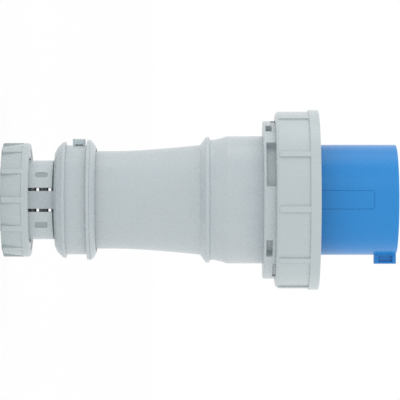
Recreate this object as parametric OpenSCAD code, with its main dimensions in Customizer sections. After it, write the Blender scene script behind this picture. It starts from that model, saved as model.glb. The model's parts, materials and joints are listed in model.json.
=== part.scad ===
// Industrial pin and sleeve plug: two poles and earth, with a pilot pin and a bayonet coupling ring.
// It stands on its cable end. The pins point up, and the key on the shroud faces +X.
// Angles are taken about the axis from the key. The lock slide is on the far side from the key, and
// the two arms that carry the gland thread lie halfway between them.

/* [Gland nut] */
// Length of the nut
nut_len = 17.6; // [16.5:0.1:22]
// Outer radius over the grip ribs
nut_r = 36.3; // [35.6:0.1:40]
// Wall from the thread to the top of the ribs
nut_wall = 4.5; // [3.6:0.1:5]
// Thickness of the floor that the cable passes
nut_floor = 3.5; // [2.5:0.1:4.5]
// Radius of the cable hole in the floor
nut_hole_r = 16; // [14:0.1:18]
// Height of the plain rim at the open end
nut_rim = 4.5; // [3:0.1:7]
// Number of grip ribs
nut_ribs = 12; // [8:1:16]
// Width of a grip rib, in degrees
nut_rib_deg = 6; // [4:0.5:9]
// Depth of the grip pockets at the cable end
nut_pocket = 1.9; // [1:0.1:2.4]
// Depth of the grip pockets where they end at the plain rim
nut_pocket_end = 0.3; // [0.2:0.05:0.8]
// Travel of the nut in one full turn
thread_pitch = 3; // [2:0.1:3.2]

/* [Pressure ring] */
// Thickness of the flange that the nut pushes
press_flange = 2.1; // [1.6:0.1:2.4]
// Height of the cone that closes the jaws
cone_h = 6; // [5:0.1:6.4]
// Wall of the ring at the top of the cone
cone_wall = 2.5; // [1.8:0.1:2.8]

/* [Clamp jaws] */
// Outer radius of the jaws and of the arms between them
jaw_r = 25.2; // [24.4:0.1:25.6]
// Wall of a jaw
jaw_wall = 3.2; // [2.4:0.1:4]
// Length of jaw seen between the nut and the cover
jaw_len = 15.8; // [14.5:0.1:20]
// Height of a jaw's split face over the middle plane
jaw_split = 7.6; // [7.4:0.1:9]
// Half the width of an arm
arm_half = 5.65; // [4.5:0.05:5.7]
// Radius at the flat inner face of an arm
arm_in = 17.2; // [16.8:0.1:18.5]
// Radial travel of each jaw in one full turn of the nut
jaw_travel = 1.5; // [1:0.1:1.5]
// Half angle of the tongue that reaches into the cone, in degrees
tongue_half_deg = 24; // [16:1:26]
// Thickness of a tongue
tongue_wall = 4; // [3:0.1:4.6]
// Radius of the cable channel between the open jaws
grip_r = 12.5; // [12.4:0.1:14]
// Height of the grip teeth over the middle plane
tooth_gap = 2; // [1.9:0.1:3]
// Clear slot between two grip teeth
tooth_slot = 3.2; // [2.4:0.1:3.4]
// Depth of the shallow marks on the jaws
mark_depth = 0.4; // [0.2:0.05:0.8]

/* [Cable seal] */
// Radius of the cable bore
seal_bore_r = 12; // [10:0.1:12.2]
// Outer radius of the seal
seal_r = 18.7; // [18:0.1:19.5]
// Length of the seal
seal_len = 14; // [12:0.1:14.4]

/* [Rear cover] */
// Length of the cover without its arms
cover_len = 26.1; // [25:0.1:30]
// Radius of the flat back
cover_back_r = 30.4; // [29:0.1:32]
// Radius of the lip behind the groove
cover_lip_r = 37.1; // [36.5:0.1:39]
// Radius of the groove
cover_groove_r = 34.9; // [34.5:0.1:36]
// Radius of the front flange
cover_flange_r = 38.4; // [37.5:0.1:40]
// Length of the groove
groove_len = 12.6; // [12:0.1:13.6]
// Thickness of the cover's back
cover_back = 4.6; // [4:0.1:5.4]
// Wall of the tube that holds the cable seal
seal_tube_wall = 3; // [2:0.1:3.4]

/* [Lock slide] */
// Height of the slide's thumb block along the axis
slide_len = 7.8; // [7:0.1:8.4]
// Width of the thumb block
slide_w = 9; // [7:0.1:11]
// How far the thumb block stands over the groove
slide_rise = 4; // [3:0.1:5]
// Travel of the slide
slide_travel = 3.2; // [2.8:0.1:3.4]

/* [Housing] */
// Radius of the tube behind the cone
tube_r = 31.2; // [30.9:0.1:31.6]
// Wall of the housing
wall = 4; // [3.6:0.1:4.4]
// Length of the housing seen behind the rib
cone_len = 66.3; // [60:0.1:80]
// Rise of the cone over that length
cone_rise = 3.9; // [2:0.1:4.4]
// Radius of the raised rib
rib_r = 40.2; // [39.6:0.1:42]
// Radius of the neck in front of the rib
neck_r = 38.5; // [37.6:0.1:39]
// Radius of the front cylinder
front_r = 40.7; // [40.4:0.1:41.5]
// Length from the rib's back to the flange plate
front_len = 40; // [36:0.1:50]
// Radius of the flange plate
plate_r = 50.4; // [49.6:0.1:51.4]
// Thickness of the flange plate
plate_len = 8.2; // [7.6:0.1:10]
// Depth of the windows in the plate's edge
window_depth = 4.4; // [3:0.1:5]
// Radius of the collar that the coupling ring turns on
collar_r = 44; // [43.6:0.1:44.6]

/* [Coupling ring] */
// Radius over the grip ribs
ring_r = 56.5; // [56:0.1:58]
// Length of the ring
ring_len = 28.4; // [26:0.1:32]
// How far the ring overlaps the flange plate
ring_overlap = 1.1; // [0.8:0.1:1.6]
// Inner radius of the ring
ring_bore_r = 51.8; // [51.4:0.1:52.4]
// Thickness of the lip that holds the ring on
ring_lip = 3.7; // [3:0.1:4.4]
// Radius of the front flange
ring_flange_r = 57.5; // [57.2:0.1:59.5]
// Length of the front flange
ring_flange_len = 6.8; // [5:0.1:8]
// Number of grip ribs
ring_ribs = 10; // [8:1:14]
// Width of a grip rib, in degrees
ring_rib_deg = 4; // [3:0.5:6]
// Depth of the pockets between the ribs
ring_pocket = 0.8; // [0.5:0.1:1.2]
// Angle of the first rib from the key, in degrees
ring_turn = 23.9; // [0:0.1:36]
// Inner radius of the bayonet lugs
lug_r = 47.8; // [47.4:0.1:49]
// Length of a bayonet lug along the axis
lug_len = 5; // [3:0.1:6]

/* [Contact carrier] */
// Outer radius of the shroud
shroud_r = 35.2; // [34.8:0.1:35.6]
// Wall of the shroud
shroud_wall = 3.4; // [2.8:0.1:3.6]
// Length of the shroud in front of the carrier flange
shroud_len = 69.1; // [66:0.1:75]
// Radius of the carrier flange
carrier_flange_r = 48.5; // [47.8:0.1:49.5]
// Thickness of the carrier flange
carrier_flange = 3.7; // [3.2:0.1:4.4]
// Height of the contact floor over the carrier flange
floor_rise = 14; // [13:0.1:16]
// Thickness of the contact floor
floor_len = 8; // [7:0.1:9]
// Length of the spigot inside the housing
spigot_len = 6.3; // [6:0.1:8]
// Wall added outside the tube on the spigot
spigot_wall = 1.5; // [1.4:0.1:1.6]
// Radius to the outside of the key
key_r = 40.8; // [39:0.1:42]
// Length of the key
key_len = 13.9; // [10:0.1:18]
// Width of the key
key_w = 8.6; // [7:0.1:10]
// Depth of the recess in each side of the key
key_recess = 2; // [1:0.1:2.4]
// Width of the engraved panel on the shroud
panel_w = 11.9; // [8:0.1:16]
// Distance from the shroud's rim to the panel
panel_end = 15.5; // [15:0.1:20]
// Width and depth of the engraved line
panel_line = 0.35; // [0.2:0.05:0.6]

/* [Face gasket] */
// Thickness of the gasket
gasket_len = 3.5; // [2.5:0.1:5]
// Outer radius of the gasket
gasket_r = 47; // [45:0.1:47.2]

/* [Contacts] */
// Radius of the pitch circle of the pins
pin_circle_r = 21.5; // [21:0.1:22]
// Radius of the line and neutral pins
pole_r = 4; // [3.5:0.1:4.5]
// Radius of the earth pin
earth_r = 5; // [4.5:0.1:5.2]
// Radius of the pilot pin
pilot_r = 3; // [2.5:0.1:3.2]
// Length of the main pins in front of the contact floor
pin_len = 48; // [44:0.1:50]
// How much shorter the pilot pin is
pilot_short = 8; // [6:0.1:12]
// Radius of the terminal barrel of a main pin
barrel_r = 7; // [6.8:0.1:7.4]
// Radius of the pilot pin's terminal barrel
pilot_barrel_r = 4.8; // [4.4:0.1:5]
// Length of the terminal barrels
barrel_len = 28; // [26:0.1:30]
// Radius of a terminal screw
terminal_screw_r = 2.9; // [2.6:0.1:3]

/* [Screws and rings] */
// Radius of the carrier screws' shanks
carrier_screw_r = 1.9; // [1.6:0.1:2.1]
// Length of the carrier screws
carrier_screw_len = 14; // [12:0.1:16]
// Radius of the insert screws' shanks
insert_screw_r = 2; // [1.8:0.1:2.3]
// Thickness of the cover's sealing ring
cover_cord = 2.3; // [2.1:0.05:2.4]
// Thickness of the carrier's sealing ring
carrier_cord = 1.8; // [1.7:0.05:1.85]

/* [Clearances] */
// Gap between parts that move past each other
gap = 0.3; // [0.25:0.05:0.35]
// Gap between round parts that are fitted together
fit = 0.1; // [0.05:0.05:0.12]

/* [Hidden] */
$fn = 96;
slit = 0.01;
grey = "#bac4c8";
light_grey = "#c2cbce";
shade_grey = "#b2bdc2";
blue = "#438fd2";
brass = "#c9a95a";
steel = "#b9bcbf";
rubber = "#2f3133";

// Heights along the axis, from the cable end up
cover_z = nut_len + jaw_len;
mouth_z = cover_z + cover_len;
rib_z = mouth_z + cone_len;
plate_z = rib_z + front_len;
collar_z = plate_z + plate_len;
flange_z = collar_z + ring_lip + 2 * gap;
gasket_z = flange_z + carrier_flange;
floor_z = gasket_z + floor_rise;
rim_z = gasket_z + shroud_len;
ring_z = collar_z - ring_overlap;
base_z = floor_z - floor_len;
barrel_z = base_z - barrel_len;

// Gland: the nut pushes a cone over the jaws' tongues
nut_bore_r = nut_r - nut_wall;
thread_r = nut_bore_r - gap;
cone_slope = jaw_travel / thread_pitch;
cone_top_r = jaw_r - 0.5;
cone_bottom_r = cone_top_r - cone_slope * cone_h;
press_sleeve_r = cone_top_r + cone_wall;
thread_bore_r = press_sleeve_r + gap;
thread_z = nut_floor + press_flange + thread_pitch + 2 * gap;
thread_top = nut_len - 2 * gap;
spoke_z = nut_floor + cone_h + thread_pitch + 2 * gap;
tongue_z = nut_floor + thread_pitch + gap;
shell_z = spoke_z + gap;
jaw_top = cover_z - 1;
tongue_gap = gap + 0.05;
tooth_z2 = (cover_z - 2.1) - tooth_slot;
tooth_z1 = tooth_z2 - 4.6;
tooth_z0 = tooth_z1 - tooth_slot;
tooth_half = arm_in - 2 * gap;

// Rear cover
cover_bore_r = tube_r + gap;
seal_pocket_r = seal_r + fit;
seal_tube_r = seal_pocket_r + seal_tube_wall;
seal_z = cover_z + cover_back;
groove_z = cover_z + 7.4;
groove_top = groove_z + groove_len;

// Lock slide: its tooth stands in a notch in the end of the housing's tube
slide_z = groove_top - slide_len - 3.3 * gap;
neck_half = slide_w / 2 - 2.5;
neck_z = slide_z + 1.6;
neck_top = slide_z + slide_len - 1.6;
foot_half = neck_half + 2;
foot_out = sqrt(pow(cover_bore_r - gap, 2) - pow(foot_half, 2));
foot_in = tube_r - wall + gap;
tube_z = neck_top - (slide_travel - 2 * gap);

// Housing
seal_groove_r = tube_r - cover_cord + 2 * slit;
seal_groove_z = mouth_z - 5;
cone_z = mouth_z + 12.5;
cone_top = rib_z;
cone_steps = 8;
bore_r = front_r - wall + gap;
spigot_r = shroud_r + spigot_wall;
front_bore_r = spigot_r + gap;

function cone_at(z) = tube_r + cone_rise * pow(max(z - cone_z, 0) / (cone_top - cone_z), 1.5);
function cone_points(inset) = [
    for (i = [0 : cone_steps]) let (z = cone_z + (cone_top - cone_z) * i / cone_steps)
        [cone_at(z) - inset, z]];
function reversed(list) = [for (i = [len(list) - 1 : -1 : 0]) list[i]];

// Contacts: pin radius, distance from the axis, angle from the key, barrel radius, screw heights.
// The pilot contact stands on the axis, and its screw points away from the key.
screw_z = [barrel_z + 4.5, barrel_z + 11.5];
contacts = [
    [earth_r, pin_circle_r, 0, barrel_r, screw_z],
    [pole_r, pin_circle_r, 120, barrel_r, screw_z],
    [pole_r, pin_circle_r, 240, barrel_r, screw_z],
    [pilot_r, 0, 180, pilot_barrel_r, [screw_z[0]]]];
insert_screw_angles = [60, 300];
seat_rise = 0.6;
collar_wall = 2;
collar_len = 3;

// Points of an arc about c from angle a to angle b
function arc(c, r, a, b, n = 4) = [
    for (i = [0 : n]) let (t = a + (b - a) * i / n) [c[0] + r * cos(t), c[1] + r * sin(t)]];

// A turned body: the outline is given as [radius, height] points
module turned(points) {
    rotate_extrude() polygon(points);
}

// A turned body over part of a turn, centred on an angle
module turned_part(points, middle, width) {
    rotate([0, 0, middle - width / 2]) rotate_extrude(angle = width) polygon(points);
}

// A rectangle in the outline, from radius a to b and from height c to d
function box_points(a, b, c, d) = [[a, c], [b, c], [b, d], [a, d]];

// A sealing ring with a round section
module o_ring(r, thickness, z) {
    translate([0, 0, z]) rotate_extrude() translate([r, 0]) circle(d = thickness, $fn = 32);
}

module gland_nut() {
    pocket_top = nut_len - nut_rim;
    pocket_slope = (nut_pocket - nut_pocket_end) / pocket_top;
    pocket_deg = 360 / nut_ribs - nut_rib_deg;
    edge = 0.8;
    color(light_grey) difference() {
        turned(concat(
            [[nut_hole_r, edge], [nut_hole_r + edge, 0], [nut_r - edge, 0], [nut_r, edge]],
            arc([nut_r - 1.4, nut_len - 1.4], 1.4, 0, 90),
            [[nut_bore_r + edge, nut_len], [nut_bore_r, nut_len - edge], [nut_bore_r, nut_floor],
             [nut_hole_r, nut_floor]]));
        for (i = [0 : nut_ribs - 1])
            turned_part([
                [nut_r - nut_pocket - pocket_slope, -1], [nut_r + 1, -1], [nut_r + 1, pocket_top],
                [nut_r - nut_pocket_end, pocket_top]], (i + 0.5) * 360 / nut_ribs, pocket_deg);
    }
}

// The cone moves with the nut but doesn't turn with it
module pressure_ring() {
    color("#e4e6e2") turned([
        [cone_bottom_r, nut_floor], [nut_bore_r - 2 * gap, nut_floor],
        [nut_bore_r - 2 * gap, nut_floor + press_flange], [press_sleeve_r, nut_floor + press_flange],
        [press_sleeve_r, nut_floor + cone_h], [cone_top_r, nut_floor + cone_h]]);
}

// One grip tooth: a web across the jaw with the cable channel cut out of it
module grip_tooth(z, top, half) {
    translate([tooth_gap, -half, z]) cube([jaw_r - jaw_wall - tooth_gap, 2 * half, top - z]);
}

// A jaw that closes towards -X. Its tongue is shaped to the cone, and its teeth reach between the arms.
module jaw_body() {
    difference() {
        union() {
            intersection() {
                turned(box_points(jaw_r - jaw_wall, jaw_r, shell_z, jaw_top));
                translate([jaw_split, -jaw_r, shell_z]) cube([jaw_r, 2 * jaw_r, jaw_top - shell_z]);
            }
            intersection() {
                translate([0, 0, shell_z]) cylinder(r = jaw_r - jaw_wall / 2, h = jaw_top - shell_z);
                union() {
                    grip_tooth(shell_z, tooth_z0, tooth_half - 2);
                    grip_tooth(tooth_z0 - 2.2, tooth_z0, tooth_half);
                    grip_tooth(tooth_z1, tooth_z2, tooth_half - 2);
                    grip_tooth(tooth_z1 + 1.3, tooth_z2 - 1.2, tooth_half);
                    grip_tooth(tooth_z2 + tooth_slot, jaw_top, tooth_half);
                }
            }
            tongue();
        }
        translate([0, 0, shell_z - 1]) cylinder(r = grip_r, h = jaw_top - shell_z + 2);
    }
}

module tongue() {
    top_r = cone_top_r - tongue_gap;
    cone_end = nut_floor + cone_h;
    end_r = top_r - cone_slope * (cone_end - tongue_z);
    inner = top_r - tongue_wall;
    turned_part([
        [inner, tongue_z], [end_r, tongue_z], [top_r, cone_end], [top_r, shell_z + 1],
        [inner, shell_z + 1]], 0, 2 * tongue_half_deg);
}

module clamp_jaw_key_side() {
    mark_l = 7.7;
    mark_w = 4.4;
    color(shade_grey) difference() {
        jaw_body();
        rotate([0, 0, -51]) translate([jaw_r - mark_depth, -mark_w / 2, jaw_top - 11.2])
            cube([3, mark_w, mark_l]);
    }
}

module clamp_jaw_lock_side() {
    mark_l = 8;
    mark_r = 2;
    color(shade_grey) difference() {
        rotate([0, 0, 180]) jaw_body();
        rotate([0, 0, -129]) translate([jaw_r - mark_depth, 0, jaw_top - 7.2]) rotate([0, 90, 0]) {
            for (side = [-1, 1])
                translate([side * (mark_l / 2 - mark_r), 0, 0]) cylinder(r = mark_r, h = 3);
            translate([mark_r - mark_l / 2, -mark_r, 0]) cube([mark_l - 2 * mark_r, 2 * mark_r, 3]);
        }
    }
}

module cable_seal() {
    groove = 1;
    step = seal_len / 5;
    color(rubber) difference() {
        turned([
            [seal_bore_r, seal_z], [seal_r, seal_z], [seal_r, seal_z + seal_len - 1],
            [seal_r - 1, seal_z + seal_len], [seal_bore_r, seal_z + seal_len]]);
        for (i = [1 : 2 : 3])
            turned(box_points(seal_r - groove, seal_r + 1, seal_z + i * step, seal_z + (i + 1) * step));
    }
}

module arm(side) {
    rotate([0, 0, side]) intersection() {
        union() {
            translate([0, 0, spoke_z]) cylinder(r = thread_bore_r + 1, h = thread_top - spoke_z);
            translate([0, 0, spoke_z]) cylinder(r = jaw_r, h = cover_z + 1 - spoke_z);
        }
        translate([arm_in, -arm_half, 0]) cube([jaw_r, 2 * arm_half, cover_z + 1]);
    }
}

module rear_cover() {
    lip_z = cover_z + 5.3;
    color(grey) difference() {
        union() {
            turned([
                [seal_bore_r + 1.4, cover_z], [cover_back_r, cover_z],
                [(cover_back_r + cover_lip_r) / 2, cover_z + 1.7], [cover_lip_r, lip_z],
                [cover_lip_r, groove_z - 0.6], [cover_groove_r, groove_z],
                [cover_groove_r, groove_top], [cover_flange_r, groove_top + 0.4],
                [cover_flange_r, mouth_z - 3.8], [cover_flange_r - 1.8, mouth_z - 1.9],
                [cover_bore_r + 2, mouth_z], [cover_bore_r + 1.3, mouth_z],
                [cover_bore_r + 1.3, mouth_z - 1.5], [cover_bore_r, mouth_z - 1.5],
                [cover_bore_r, seal_z - 1], [seal_tube_r, seal_z - 1],
                [seal_tube_r, seal_z + seal_len + 1], [seal_pocket_r, seal_z + seal_len + 1],
                [seal_pocket_r, seal_z], [seal_bore_r + 1.4, seal_z]]);
            turned(box_points(thread_bore_r, thread_r, thread_z, thread_top));
            arm(90);
            arm(270);
        }
        translate([-cover_flange_r, -neck_half - gap, neck_z - slide_travel - gap])
            cube([cover_flange_r - seal_tube_r - 2, 2 * (neck_half + gap),
                neck_top - neck_z + slide_travel + 2 * gap]);
    }
}

// A thumb block outside the cover, a neck through its wall and a locking tooth inside
module lock_slide() {
    top = cover_groove_r + slide_rise;
    bottom = cover_groove_r + gap;
    color("#8d9aa3") {
        difference() {
            translate([-top, -slide_w / 2, slide_z]) cube([top - bottom, slide_w, slide_len]);
            for (i = [1 : 3])
                translate([-top - 1, -slide_w, slide_z + i * slide_len / 4 - 0.4])
                    cube([1.4, 2 * slide_w, 0.8]);
        }
        translate([-bottom - slit, -neck_half, neck_z])
            cube([bottom - foot_out + 2 * slit, 2 * neck_half, neck_top - neck_z]);
        translate([-foot_out, -foot_half, neck_z]) cube([foot_out - foot_in, 2 * foot_half, neck_top - neck_z]);
    }
}

module cover_seal() {
    color(rubber) o_ring(seal_groove_r + cover_cord / 2 + slit, cover_cord, seal_groove_z);
}

// A window in the edge of the flange plate, open towards the coupling ring or closed
module plate_window(from, to, z, top) {
    turned_part(box_points(plate_r - window_depth, plate_r + 1, z, top), (from + to) / 2, to - from);
}

module plate_windows() {
    z = plate_z + 1.6;
    plate_window(224.4, 260.3, z, collar_z + 1);
    plate_window(201.1, 210.9, z - 0.2, z + 3.6);
    plate_window(300.2, 315, z, z + 3.8);
    turned_part(box_points(plate_r - 1, plate_r + 1, collar_z - 2.4, collar_z + 1), 334, 21);
    turned_part(box_points(plate_r - 1, plate_r + 1, collar_z - 3.4, collar_z + 1), 195, 32);
}

module housing() {
    half_groove = cover_cord / 2 + 0.2;
    rib_w = 5.7;
    neck_z0 = rib_z + 6.4;
    taper_z0 = neck_z0 + 2.5;
    taper_z1 = taper_z0 + 8.3;
    color(grey) difference() {
        turned(concat(
            [[tube_r - wall, tube_z], [tube_r, tube_z],
             [tube_r, seal_groove_z - half_groove], [seal_groove_r, seal_groove_z - half_groove],
             [seal_groove_r, seal_groove_z + half_groove], [tube_r, seal_groove_z + half_groove]],
            cone_points(0),
            [[rib_r, rib_z + 3.8], [rib_r, rib_z + rib_w], [neck_r, neck_z0], [neck_r, taper_z0],
             [(neck_r + front_r) / 2 - 0.2, (taper_z0 + taper_z1) / 2], [front_r, taper_z1],
             [front_r, plate_z], [plate_r - 0.5, plate_z], [plate_r, plate_z + 0.5],
             [plate_r, collar_z], [collar_r, collar_z], [collar_r, flange_z],
             [front_bore_r, flange_z], [front_bore_r, plate_z], [front_r - wall, plate_z - 3],
             [front_r - wall, taper_z1], [neck_r - wall, taper_z0], [neck_r - wall, rib_z + rib_w]],
            reversed(cone_points(wall))));
        for (side = [0, 180]) rotate([0, 0, side]) plate_windows();
        translate([-tube_r - 1, -foot_half - gap, tube_z - 1])
            cube([wall + 3, 2 * (foot_half + gap), neck_top - tube_z + 1 + gap]);
        carrier_screw_places() translate([0, 0, gasket_z - carrier_screw_len])
            cylinder(r = carrier_screw_r + fit, h = carrier_screw_len);
    }
}

module coupling_ring() {
    top = ring_z + ring_len;
    flange_bottom = top - ring_flange_len;
    corner = 2.5;
    lip_z = collar_z + gap;
    rib_pitch = 360 / ring_ribs;
    lug_top = top - 4.3;
    color(light_grey) {
        difference() {
            turned(concat(
                [[plate_r + 1.3 * gap, ring_z]], arc([ring_r - corner, ring_z + corner], corner, -90, 0),
                [[ring_r, flange_bottom], [ring_flange_r, flange_bottom + 0.6]],
                arc([ring_flange_r - 0.8, top - 0.8], 0.8, 0, 90),
                [[ring_bore_r + 0.8, top], [ring_bore_r, top - 0.8],
                 [ring_bore_r, lip_z + ring_lip], [collar_r + 1.3 * gap, lip_z + ring_lip],
                 [collar_r + 1.3 * gap, lip_z], [plate_r + 1.3 * gap, lip_z]]));
            for (i = [0 : ring_ribs - 1]) {
                middle = ring_turn + (i + 0.5) * rib_pitch;
                turned_part(box_points(ring_r - ring_pocket, ring_flange_r + 1, ring_z + 2.3,
                    flange_bottom - 0.7), middle, rib_pitch - ring_rib_deg);
                turned_part(box_points(ring_flange_r - 0.4, ring_flange_r + 1, top - 3.8, top - 1.4),
                    middle - rib_pitch / 2 - 6, 11);
            }
        }
        for (i = [0 : 2])
            turned_part([
                [lug_r, lug_top - lug_len], [ring_bore_r + 0.5, lug_top - lug_len],
                [ring_bore_r + 0.5, lug_top], [lug_r + 1, lug_top], [lug_r, lug_top - 1]],
                i * 120, 34);
    }
}

module face_gasket() {
    bead = 1;
    color(rubber) turned([
        [shroud_r + fit, gasket_z], [gasket_r, gasket_z], [gasket_r, gasket_z + gasket_len - bead],
        [gasket_r - bead, gasket_z + gasket_len], [gasket_r - 3 * bead, gasket_z + gasket_len],
        [gasket_r - 4 * bead, gasket_z + gasket_len - bead],
        [shroud_r + fit, gasket_z + gasket_len - bead]]);
}

module carrier_screw_places() {
    r = (front_bore_r + collar_r) / 2;
    for (a = [45 : 90 : 315]) rotate([0, 0, a]) translate([r, 0, 0]) children();
}

// Turns to an angle from the key, and moves out to the pins' pitch circle
module on_pin_circle(a) {
    rotate([0, 0, a]) translate([pin_circle_r, 0, 0]) children();
}

// Moves to the place of one contact in the list contacts
module contact_place(c) {
    rotate([0, 0, c[2]]) translate([c[1], 0, 0]) children();
}

module countersunk_head(r, z) {
    translate([0, 0, z - r]) cylinder(r1 = r, r2 = 2 * r, h = r);
}

module key() {
    z = rim_z - gap - key_len;
    recess_z = z + 2.8;
    recess_len = key_len - 5.1;
    difference() {
        translate([shroud_r - shroud_wall / 2, -key_w / 2, z])
            cube([key_r - shroud_r + shroud_wall / 2, key_w, key_len]);
        for (side = [-1, 1])
            translate([shroud_r + 0.6, side > 0 ? key_w / 2 - key_recess : -key_w / 2 - 1, recess_z])
                cube([key_r - shroud_r - 1.8, key_recess + 1, recess_len]);
    }
}

// A rectangle with its corners cut, standing on the line v = 0
module panel_outline(w, h) {
    cut = 1.2;
    polygon([[0, -w / 2], [h - cut, -w / 2], [h, cut - w / 2], [h, w / 2 - cut], [h - cut, w / 2], [0, w / 2]]);
}

module panel_groove() {
    z = gasket_z + gasket_len + 1;
    h = rim_z - panel_end - z;
    intersection() {
        translate([0, -shroud_r + 3, z]) rotate([90, 0, 0]) rotate([0, 0, 90]) linear_extrude(4)
            difference() {
                panel_outline(panel_w, h);
                translate([-1, 0]) panel_outline(panel_w - 2 * panel_line, h + 1 - panel_line);
            }
        turned(box_points(shroud_r - panel_line / 2, shroud_r + 2, z - 1, rim_z));
    }
}

module contact_carrier() {
    bore = shroud_r - shroud_wall;
    groove_half = carrier_cord / 2 + 0.15;
    seal_at = flange_z - spigot_len / 2;
    groove_r = carrier_groove_r();
    color(blue) difference() {
        union() {
            turned(concat(
                [[bore, flange_z - spigot_len], [spigot_r, flange_z - spigot_len],
                 [spigot_r, seal_at - groove_half], [groove_r, seal_at - groove_half],
                 [groove_r, seal_at + groove_half], [spigot_r, seal_at + groove_half],
                 [spigot_r, flange_z], [carrier_flange_r, flange_z], [carrier_flange_r, gasket_z],
                 [shroud_r, gasket_z]],
                arc([shroud_r - 1, rim_z - 1], 1, 0, 90, 3),
                [[bore + 0.6, rim_z], [bore, rim_z - 0.6]]));
            translate([0, 0, base_z]) cylinder(r = bore + shroud_wall / 2, h = floor_len);
            key();
            for (c = contacts) contact_place(c) translate([0, 0, base_z])
                cylinder(r = c[0] + seat_rise + collar_wall, h = floor_len + collar_len);
        }
        panel_groove();
        for (c = contacts) contact_place(c) translate([0, 0, base_z - 1])
            cylinder(r = c[0] + seat_rise + fit, h = floor_len + collar_len + 2);
        for (a = insert_screw_angles) on_pin_circle(a) translate([0, 0, base_z - 1])
            cylinder(r = insert_screw_r + fit, h = floor_len + 2);
        carrier_screw_places() {
            translate([0, 0, flange_z - 1]) cylinder(r = carrier_screw_r + fit, h = carrier_flange + 2);
            translate([0, 0, fit]) countersunk_head(carrier_screw_r + fit, gasket_z);
        }
    }
}

function carrier_groove_r() = front_bore_r - fit - carrier_cord;

module carrier_seal() {
    color(rubber) o_ring(carrier_groove_r() + carrier_cord / 2 + fit / 2, carrier_cord, flange_z - spigot_len / 2);
}

module carrier_screws() {
    color(steel) carrier_screw_places() difference() {
        union() {
            translate([0, 0, gasket_z - carrier_screw_len + 0.5])
                cylinder(r = carrier_screw_r, h = carrier_screw_len - 0.5 - slit);
            translate([0, 0, -slit]) countersunk_head(carrier_screw_r, gasket_z);
        }
        for (a = [0, 90]) rotate([0, 0, a])
            translate([-carrier_screw_r, -0.35, gasket_z - 1.2]) cube([2 * carrier_screw_r, 0.7, 2]);
    }
}

module terminal_insert() {
    r = shroud_r - shroud_wall - gap;
    lip = 2;
    z = barrel_z - lip;
    color("#3b3f43") difference() {
        translate([0, 0, z]) cylinder(r = r, h = base_z - z);
        for (c = contacts) contact_place(c) {
            translate([0, 0, barrel_z]) cylinder(r = c[3] + fit, h = base_z - z);
            translate([0, 0, z - 1]) cylinder(r = c[3] - 1.5, h = lip + 2);
            for (h = c[4]) translate([0, 0, h]) rotate([0, 90, 0])
                cylinder(r = terminal_screw_r + gap, h = r + 1);
        }
        for (a = insert_screw_angles) on_pin_circle(a) translate([0, 0, barrel_z + 6])
            cylinder(r = insert_screw_r + fit, h = base_z - z);
    }
}

// A screw's head stands on the contact floor between two pins
module insert_screws() {
    head_r = 2 * insert_screw_r;
    head_h = 2.6;
    color(steel) for (a = insert_screw_angles) on_pin_circle(a) difference() {
        union() {
            translate([0, 0, barrel_z + 7]) cylinder(r = insert_screw_r, h = floor_z + 1 - barrel_z - 7);
            translate([0, 0, floor_z]) cylinder(r = head_r, h = head_h - 0.6);
            translate([0, 0, floor_z + head_h - 0.6]) cylinder(r1 = head_r, r2 = head_r - 0.6, h = 0.6);
        }
        for (turn = [0, 90]) rotate([0, 0, turn])
            translate([-head_r / 2, -0.5, floor_z + head_h - 1.4]) cube([head_r, 1, 2]);
    }
}

// A turned contact: the pin in front, and behind the floor a barrel for the conductor
module contact_pin(c, length) {
    tip = 1.6;
    wire_r = c[3] - 3;
    contact_place(c) difference() {
        union() {
            translate([0, 0, base_z - 1]) cylinder(r = c[0] + seat_rise, h = floor_len + collar_len + 1);
            translate([0, 0, base_z]) cylinder(r = c[0], h = floor_len + length - tip);
            translate([0, 0, floor_z + length - tip]) cylinder(r1 = c[0], r2 = c[0] - tip * 0.7, h = tip);
            translate([0, 0, barrel_z]) cylinder(r = c[3], h = base_z - barrel_z);
        }
        translate([0, 0, barrel_z - 1]) cylinder(r = wire_r, h = barrel_len - 7);
        for (z = c[4]) translate([0, 0, z]) rotate([0, 90, 0])
            cylinder(r = terminal_screw_r + fit, h = c[3] + 1);
    }
}

module pin_earth() {
    color(brass) contact_pin(contacts[0], pin_len);
}

module pin_line() {
    color(brass) contact_pin(contacts[1], pin_len);
}

module pin_neutral() {
    color(brass) contact_pin(contacts[2], pin_len);
}

module pin_pilot() {
    color(brass) contact_pin(contacts[3], pin_len - pilot_short);
}

// Slotted set screws, each with its inner end a little inside the conductor's bore
module terminal_screws() {
    from = 1;
    length = 8;
    slot = 1;
    color(steel) for (c = contacts, z = c[4]) contact_place(c) translate([0, 0, z])
        rotate([0, 90, 0]) difference() {
            translate([0, 0, from]) cylinder(r = terminal_screw_r, h = length);
            translate([-terminal_screw_r - 1, -slot / 2, from + length - 1.5])
                cube([2 * terminal_screw_r + 2, slot, 2]);
        }
}

gland_nut();
pressure_ring();
clamp_jaw_key_side();
clamp_jaw_lock_side();
cable_seal();
rear_cover();
lock_slide();
cover_seal();
housing();
coupling_ring();
face_gasket();
contact_carrier();
carrier_seal();
carrier_screws();
terminal_insert();
insert_screws();
pin_earth();
pin_line();
pin_neutral();
pin_pilot();
terminal_screws();
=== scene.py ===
"""Looks of an industrial pin and sleeve plug: finishes, fine moulded detail, light and camera.

The plug stands on its cable end along +Z. The camera looks along +Y, rolled by a quarter turn, so
that the pins point right in the picture and the key (+X) points down.
"""

import json
import math

import bmesh
import bpy
from mathutils import Matrix, Vector


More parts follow.
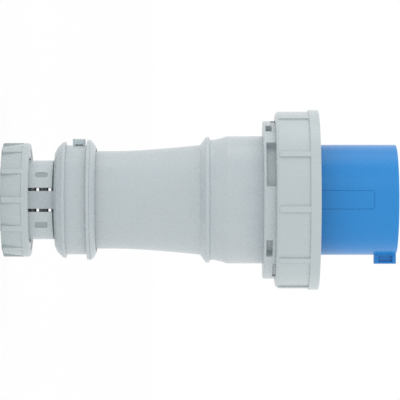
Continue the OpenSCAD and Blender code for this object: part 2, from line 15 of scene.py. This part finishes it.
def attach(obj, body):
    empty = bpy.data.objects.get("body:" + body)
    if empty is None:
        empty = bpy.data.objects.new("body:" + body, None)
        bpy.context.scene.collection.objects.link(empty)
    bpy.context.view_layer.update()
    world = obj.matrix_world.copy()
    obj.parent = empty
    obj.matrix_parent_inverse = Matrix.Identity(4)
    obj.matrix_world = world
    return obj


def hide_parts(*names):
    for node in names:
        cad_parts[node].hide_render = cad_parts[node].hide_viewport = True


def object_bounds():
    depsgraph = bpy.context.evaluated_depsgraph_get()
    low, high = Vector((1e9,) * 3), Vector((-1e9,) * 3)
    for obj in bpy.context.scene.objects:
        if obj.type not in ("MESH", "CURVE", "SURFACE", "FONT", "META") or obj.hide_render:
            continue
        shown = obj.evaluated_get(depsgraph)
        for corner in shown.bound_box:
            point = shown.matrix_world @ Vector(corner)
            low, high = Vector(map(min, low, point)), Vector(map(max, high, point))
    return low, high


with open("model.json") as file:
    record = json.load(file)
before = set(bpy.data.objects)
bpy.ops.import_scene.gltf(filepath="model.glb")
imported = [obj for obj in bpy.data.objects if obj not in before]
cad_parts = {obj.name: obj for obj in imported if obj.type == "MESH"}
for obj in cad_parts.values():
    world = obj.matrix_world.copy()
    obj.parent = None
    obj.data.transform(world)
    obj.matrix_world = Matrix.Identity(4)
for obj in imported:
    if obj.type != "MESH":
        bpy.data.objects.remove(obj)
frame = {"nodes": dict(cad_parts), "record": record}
cad_box = [list(corner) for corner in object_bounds()]
NODES = frame["nodes"]

# Picture: 400 x 400, with the object's axis across it
PICTURE_WIDTH = 0.256        # width of the view at the plug's axis, in metres
CAMERA_DISTANCE = 1.856
CAMERA_DROP = 0.0001         # the plug lies a little above the picture's middle
CAMERA_SHIFT = 0.0002        # and a little left of it
SENSOR = 36.0

# Light, where 1 is the level at which a colour renders about as it is written
WORLD_LEVEL = 1.01
PANELS = (                   # name, first and last angle about the axis in degrees, radiance
    ("front_top", 28, 50, 0.35),
    ("top", 80, 110, 0.78),
    ("below", -95, -60, 0.06),
    ("behind_below", -140, -95, 0.2),
)
WHITE_SHARE = 0.9            # how far the floor is plain white to the camera; the rest holds its shadow

MM = 0.001

# Waves per metre of the noise in the moulded plastics
FLOW_WAVES = 22.0
POLISH_WAVES = 420.0
GRAIN_WAVES = 2600.0
GRAIN_HEIGHT = 0.0001        # in metres

# The floors of the jaws' shallow marks, which get painted shade, in millimetres
MARK_RADII = (24.7, 25.08)
MARK_HEIGHTS = (21.0, 29.4)
MARK_FROM_SPLIT = 10.0       # the marks lie farther than this from the plane between the jaws


# ---------------------------------------------------------------- materials

def srgb(r, g, b):
    """Linear colour with alpha from 0-255 sRGB."""
    def one(v):
        v /= 255.0
        return v / 12.92 if v <= 0.04045 else ((v + 0.055) / 1.055) ** 2.4
    return (one(r), one(g), one(b), 1.0)


class Tree:
    """A material's node tree, with short ways to add and link nodes."""

    def __init__(self, name):
        self.material = bpy.data.materials.new(name)
        self.material.use_nodes = True
        self.nodes = self.material.node_tree.nodes
        self.links = self.material.node_tree.links
        self.shader = self.nodes["Principled BSDF"]

    @classmethod
    def of(cls, material):
        """The tree of a material that is already there."""
        tree = cls.__new__(cls)
        tree.material = material
        tree.nodes = material.node_tree.nodes
        tree.links = material.node_tree.links
        tree.shader = tree.nodes["Principled BSDF"]
        return tree

    def math(self, operation, a, b=None):
        """One math node; a and b are numbers or sockets."""
        node = self.add("ShaderNodeMath", operation=operation)
        for socket, value in zip(node.inputs, (a, b)):
            if isinstance(value, (int, float)):
                socket.default_value = value
            elif value is not None:
                self.link(value, socket)
        return node.outputs[0]

    def between(self, value, low, high):
        """1 where low < value < high, and 0 elsewhere."""
        above = self.math("GREATER_THAN", value, low)
        below = self.math("LESS_THAN", value, high)
        return self.math("MULTIPLY", above, below)

    def add(self, kind, **values):
        """A new node, with values for its sockets and its settings."""
        node = self.nodes.new(kind)
        for key, value in values.items():
            if key in node.inputs:
                node.inputs[key].default_value = value
            else:
                setattr(node, key, value)
        return node

    def link(self, source, target):
        self.links.new(source, target)

    def noise(self, scale, detail=3.0, roughness=0.5, stretch=(1, 1, 1)):
        """Noise in the object's own coordinates; scale is in waves per metre."""
        place = self.add("ShaderNodeTexCoord")
        mapping = self.add("ShaderNodeMapping")
        mapping.inputs["Scale"].default_value = stretch
        texture = self.add("ShaderNodeTexNoise", Scale=scale, Detail=detail, Roughness=roughness)
        self.link(place.outputs["Object"], mapping.inputs["Vector"])
        self.link(mapping.outputs["Vector"], texture.inputs["Vector"])
        return texture.outputs["Fac"]

    def ramp(self, value, low, high, color_low, color_high):
        ramp = self.add("ShaderNodeValToRGB")
        ramp.color_ramp.elements[0].position = low
        ramp.color_ramp.elements[1].position = high
        ramp.color_ramp.elements[0].color = color_low
        ramp.color_ramp.elements[1].color = color_high
        self.link(value, ramp.inputs["Fac"])
        return ramp.outputs["Color"]

    def spread(self, value, low, high):
        """Maps 0..1 to low..high."""
        node = self.add("ShaderNodeMapRange")
        node.inputs["To Min"].default_value = low
        node.inputs["To Max"].default_value = high
        self.link(value, node.inputs["Value"])
        return node.outputs["Result"]

    def bump(self, height, strength, distance, below=None):
        node = self.add("ShaderNodeBump", Strength=strength, Distance=distance)
        self.link(height, node.inputs["Height"])
        if below is not None:
            self.link(below, node.inputs["Normal"])
        return node.outputs["Normal"]


def scaled(color, factor):
    """A colour made lighter or darker."""
    return tuple(c * factor for c in color[:3]) + (1.0,)


def moulded(name, color, roughness=0.27, grain=0.08, edge=0.0005, specular=0.5):
    """Moulded plastic: slight flow marks in the colour, a fine grain and softened edges."""
    t = Tree(name)
    flow = t.noise(FLOW_WAVES, detail=4.0)
    t.link(t.ramp(flow, 0.3, 0.7, scaled(color, 0.975), scaled(color, 1.025)), t.shader.inputs["Base Color"])
    polish = t.noise(POLISH_WAVES, detail=2.0)
    t.link(t.spread(polish, roughness - 0.05, roughness + 0.05), t.shader.inputs["Roughness"])
    soft = t.add("ShaderNodeBevel", samples=4, Radius=edge)
    fine = t.noise(GRAIN_WAVES, detail=2.0)
    t.link(t.bump(fine, grain, GRAIN_HEIGHT, soft.outputs["Normal"]), t.shader.inputs["Normal"])
    t.shader.inputs["Specular IOR Level"].default_value = specular
    return t.material


def jaw_finish_with_painted_shade(name, color, painted_shade_color):
    """Moulded plastic with painted shade on the floors of the two shallow marks: a darker colour stands in
    for the shade in these recesses.
    """
    material = moulded(name, color)
    t = Tree.of(material)
    place = t.add("ShaderNodeTexCoord")
    axes = t.add("ShaderNodeSeparateXYZ")
    t.link(place.outputs["Object"], axes.inputs[0])
    x, y, z = (axes.outputs[i] for i in range(3))
    radius = t.math("SQRT", t.math("ADD", t.math("MULTIPLY", x, x), t.math("MULTIPLY", y, y)))
    in_depth = t.between(radius, *(r * MM for r in MARK_RADII))
    in_height = t.between(z, *(h * MM for h in MARK_HEIGHTS))
    inside = t.math("MULTIPLY", in_depth, in_height)
    off_split = t.math("GREATER_THAN", t.math("ABSOLUTE", x), MARK_FROM_SPLIT * MM)
    inside = t.math("MULTIPLY", inside, off_split)
    # Painted shade: within the mask the mark floors take the darker shade colour
    mix = t.add("ShaderNodeMix", data_type="RGBA")
    plain = t.shader.inputs["Base Color"].links[0].from_socket
    t.link(inside, mix.inputs["Factor"])
    t.link(plain, mix.inputs[6])
    mix.inputs[7].default_value = painted_shade_color
    t.link(mix.outputs[2], t.shader.inputs["Base Color"])
    return material


def rubber(name):
    t = Tree(name)
    t.link(t.ramp(t.noise(60.0), 0.3, 0.7, srgb(38, 39, 41), srgb(50, 51, 53)), t.shader.inputs["Base Color"])
    t.link(t.bump(t.noise(1800.0), 0.25, 0.0001), t.shader.inputs["Normal"])
    t.shader.inputs["Roughness"].default_value = 0.72
    return t.material


def turned_metal(name, color, roughness, rings=900.0):
    """Turned metal: fine rings round the axis, seen as a slight change in roughness and height."""
    t = Tree(name)
    t.shader.inputs["Metallic"].default_value = 1.0
    marks = t.noise(rings, detail=2.0, stretch=(0.04, 0.04, 1.0))
    tint = t.ramp(t.noise(35.0), 0.3, 0.7, scaled(color, 0.93), scaled(color, 1.03))
    t.link(tint, t.shader.inputs["Base Color"])
    t.link(t.spread(marks, roughness - 0.08, roughness + 0.1), t.shader.inputs["Roughness"])
    t.link(t.bump(marks, 0.12, 0.0001), t.shader.inputs["Normal"])
    return t.material


GREY = srgb(186, 195, 199)
MATERIALS = {
    "grey_plastic": moulded("grey_plastic", GREY),
    "light_plastic": moulded("light_plastic", srgb(186, 196, 198)),
    # Painted light: the jaws' plastic is lighter than the body grey to offset the shade between the nut and
    # the cover; the second colour is the painted shade of the mark floors
    "jaw_plastic": jaw_finish_with_painted_shade("jaw_plastic", srgb(200, 209, 212), srgb(166, 176, 179)),
    # Painted light: the lock slide's plastic is lighter than the body grey to offset the shade it renders in
    "dark_plastic": moulded("dark_plastic", srgb(190, 204, 209)),
    "slip_plastic": moulded("slip_plastic", srgb(228, 228, 222)),
    "insert_plastic": moulded("insert_plastic", srgb(58, 60, 64)),
    "blue_plastic": moulded("blue_plastic", srgb(42, 137, 209), specular=0.3),
    "rubber": rubber("rubber"),
    "brass": turned_metal("brass", srgb(214, 186, 120), 0.28),
    "screw_steel": turned_metal("screw_steel", srgb(190, 192, 194), 0.34, rings=1500.0),
}


def dress_cad_nodes():
    """Gives each node the finish of its slot in the record."""
    for part in frame["record"]["subparts"]:
        mesh = NODES[part["node"]].data
        mesh.materials.clear()
        mesh.materials.append(MATERIALS[part["material_slot"]])


# ---------------------------------------------------------------- shapes

SHARP_ANGLE = 28             # degrees between faces, over which an edge is drawn sharp


def arc(centre, radius, first, last, steps=6):
    """Points of an arc in a turned outline, as (radius, height) in millimetres."""
    angles = [math.radians(first + (last - first) * i / steps) for i in range(steps + 1)]
    return [(centre[0] + radius * math.cos(a), centre[1] + radius * math.sin(a)) for a in angles]


class Shape:
    """A mesh built up from turned pieces, in millimetres."""

    def __init__(self):
        self.mesh = bmesh.new()

    def loop(self, points):
        """The corners of one section."""
        return [self.mesh.verts.new([c * MM for c in p]) for p in points]

    def bridge(self, a, b):
        """The faces between two sections."""
        count = len(a)
        for i in range(count):
            j = (i + 1) % count
            self.mesh.faces.new((a[i], a[j], b[j], b[i]))

    def turned(self, outline, middle=0.0, width=360.0, step=2.0):
        """Turns a closed outline of (radius, height) about the axis, over part of a turn or all of it."""
        whole = width >= 360
        count = max(2, round(width / step))
        loops = []
        for i in range(count if whole else count + 1):
            a = math.radians(middle - width / 2 + width * i / count)
            loops.append(self.loop([(r * math.cos(a), r * math.sin(a), z) for r, z in outline]))
        for i in range(len(loops) - 1):
            self.bridge(loops[i], loops[i + 1])
        if whole:
            self.bridge(loops[-1], loops[0])
        else:
            self.mesh.faces.new(loops[0])
            self.mesh.faces.new(reversed(loops[-1]))

    def done(self, name, slot, body, *replaced):
        """The finished piece, which rides on a body and may take the place of CAD nodes."""
        bmesh.ops.recalc_face_normals(self.mesh, faces=self.mesh.faces)
        mesh = bpy.data.meshes.new(name)
        self.mesh.to_mesh(mesh)
        self.mesh.free()
        mesh.polygons.foreach_set("use_smooth", [True] * len(mesh.polygons))
        mesh.set_sharp_from_angle(angle=math.radians(SHARP_ANGLE))
        mesh.materials.append(MATERIALS[slot])
        piece = bpy.data.objects.new(name, mesh)
        bpy.context.collection.objects.link(piece)
        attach(piece, body)
        if replaced:
            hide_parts(*replaced)
        return piece


def make_ring():
    """The coupling ring: a plain band with ten raised grip ribs, a front flange and three lugs."""
    back, front = 173.5, 201.3
    band, rib, flange = 56.4, 57.3, 57.5          # outer radii
    bore, lip, skirt = 51.8, 44.4, 50.8           # inner radii
    lip_back, lip_front = 174.3, 178.0
    step_z = front - 6.8                          # where the flange starts
    corner, edge, chamfer = 2.6, 1.0, 0.8
    shape = Shape()
    shape.turned(
        [(skirt, back)] + arc((band - corner, back + corner), corner, -90, 0)
        + [(band, step_z), (flange - 0.3, step_z + 0.2), (flange, step_z + 0.6)]
        + arc((flange - edge, front - edge), edge, 0, 90)
        + [(bore + chamfer, front), (bore, front - chamfer)]
        + [(bore, lip_front), (lip, lip_front), (lip, lip_back), (skirt, lip_back)])

    ribs, first_rib, rib_angle = 10, 23.9, 4.0
    root = band - 1                               # the ribs start inside the band
    rib_back, slope, rib_front = back + 1.6, 1.1, step_z + 0.5
    rib_outline = [(root, rib_back), (band, rib_back), (rib, rib_back + slope), (rib, rib_front),
        (root, rib_front)]
    for i in range(ribs):
        shape.turned(rib_outline, first_rib + i * 360 / ribs, rib_angle, step=1.0)

    lugs, lug_angle, lug_depth, lug_len = 3, 34, 4, 5.0
    lug_front = front - 4.3
    lug_back = lug_front - lug_len
    top, foot = bore - lug_depth, bore + 0.5      # the lugs start inside the wall
    lug_outline = [(top, lug_back), (foot, lug_back), (foot, lug_front), (top + 1, lug_front),
        (top, lug_front - 1)]
    for i in range(lugs):
        shape.turned(lug_outline, i * 360 / lugs, lug_angle)
    return shape.done("coupling_ring_look", "light_plastic", "coupling_ring", "coupling_ring")


def make_cover_shoulder():
    """The rounded front shoulder of the rear cover, open where the lock slide runs."""
    back, front = 56.0, 59.5
    inner, outer, straight = 33.2, 38.3, 0.3
    slide_gap = 32                                # degrees left open, opposite the key
    bulge = [(38.1, 56.7), (37.45, 57.3), (36.6, 58.0), (35.65, 58.6), (34.6, 59.15), (33.6, front)]
    outline = [(inner, back), (outer, back), (outer, back + straight)] + bulge + [(inner, front)]
    shape = Shape()
    shape.turned(outline, 0, 360 - slide_gap)
    return shape.done("cover_shoulder_look", "grey_plastic", "root")


# ---------------------------------------------------------------- stage

WHITE = (1, 1, 1, 1)
FLOOR_COLOR = (0.9, 0.9, 0.9, 1)
FLOOR_REACH = 6.0            # metres from the axis to each side


def floor_finish(name):
    """White to the camera, with part of the true shadow left in."""
    t = Tree(name)
    t.shader.inputs["Base Color"].default_value = FLOOR_COLOR
    t.shader.inputs["Roughness"].default_value = 0.9
    t.shader.inputs["Specular IOR Level"].default_value = 0.1
    path = t.add("ShaderNodeLightPath")
    white = t.add("ShaderNodeEmission", Strength=1.0)
    white.inputs["Color"].default_value = WHITE
    mix = t.add("ShaderNodeMixShader")
    share = t.add("ShaderNodeMath", operation="MULTIPLY")
    share.inputs[1].default_value = WHITE_SHARE
    t.link(path.outputs["Is Camera Ray"], share.inputs[0])
    t.link(share.outputs[0], mix.inputs["Fac"])
    t.link(t.shader.outputs[0], mix.inputs[1])
    t.link(white.outputs[0], mix.inputs[2])
    t.link(mix.outputs[0], t.nodes["Material Output"].inputs["Surface"])
    return t.material


def make_floor():
    r = FLOOR_REACH
    mesh = bpy.data.meshes.new("floor")
    mesh.from_pydata([(-r, -r, 0), (r, -r, 0), (r, r, 0), (-r, r, 0)], [], [(0, 1, 2, 3)])
    floor = bpy.data.objects.new("floor", mesh)
    bpy.context.collection.objects.link(floor)
    mesh.materials.append(floor_finish("floor_white"))


def long_panel(name, height, first, last, radiance):
    """A long white panel beside the plug, which spans an angle about its axis.

    Angles are in degrees from the camera's side towards the top of the picture. Every point of the
    panel shines with the radiance.
    """
    distance, length = 1.6, 2.6
    middle = math.radians((first + last) / 2)
    width = 2 * distance * math.tan(math.radians((last - first) / 2))
    out = Vector((-math.sin(middle), -math.cos(middle), 0))
    along = Vector((0, 0, 1))
    data = bpy.data.lights.new(name, "AREA")
    data.shape = "RECTANGLE"
    data.size, data.size_y = length, width
    data.energy = math.pi * length * width * radiance
    lamp = bpy.data.objects.new(name, data)
    turn = Matrix((along, out.cross(along), out)).transposed().to_4x4()
    lamp.matrix_world = Matrix.Translation(out * distance + Vector((0, 0, height))) @ turn
    bpy.context.collection.objects.link(lamp)


def make_light(centre):
    """An even white surround, plain white to the camera, and the panels."""
    world = bpy.data.worlds.new("studio")
    world.use_nodes = True
    bpy.context.scene.world = world
    nodes, links = world.node_tree.nodes, world.node_tree.links
    back = nodes["Background"]
    back.inputs["Color"].default_value = WHITE
    back.inputs["Strength"].default_value = WORLD_LEVEL
    seen = nodes.new("ShaderNodeBackground")
    seen.inputs["Color"].default_value = WHITE
    seen.inputs["Strength"].default_value = 1.0
    path = nodes.new("ShaderNodeLightPath")
    mix = nodes.new("ShaderNodeMixShader")
    links.new(path.outputs["Is Camera Ray"], mix.inputs["Fac"])
    links.new(back.outputs[0], mix.inputs[1])
    links.new(seen.outputs[0], mix.inputs[2])
    links.new(mix.outputs[0], nodes["World Output"].inputs["Surface"])
    for name, first, last, radiance in PANELS:
        long_panel(name, centre, first, last, radiance)


def make_camera(centre):
    """The side view, rolled by a quarter turn."""
    data = bpy.data.cameras.new("camera")
    data.sensor_width = SENSOR
    data.lens = SENSOR * CAMERA_DISTANCE / PICTURE_WIDTH
    camera = bpy.data.objects.new("camera", data)
    right, up, back = Vector((0, 0, 1)), Vector((-1, 0, 0)), Vector((0, -1, 0))
    turn = Matrix((right, up, back)).transposed().to_4x4()
    camera.matrix_world = Matrix.Translation((CAMERA_DROP, -CAMERA_DISTANCE, centre)) @ turn
    bpy.context.collection.objects.link(camera)
    bpy.context.scene.camera = camera


centre_height = cad_box[1][2] / 2 + CAMERA_SHIFT
dress_cad_nodes()
make_ring()
make_cover_shoulder()
make_floor()
make_light(centre_height)
make_camera(centre_height)
bpy.context.scene.view_settings.view_transform = "Standard"
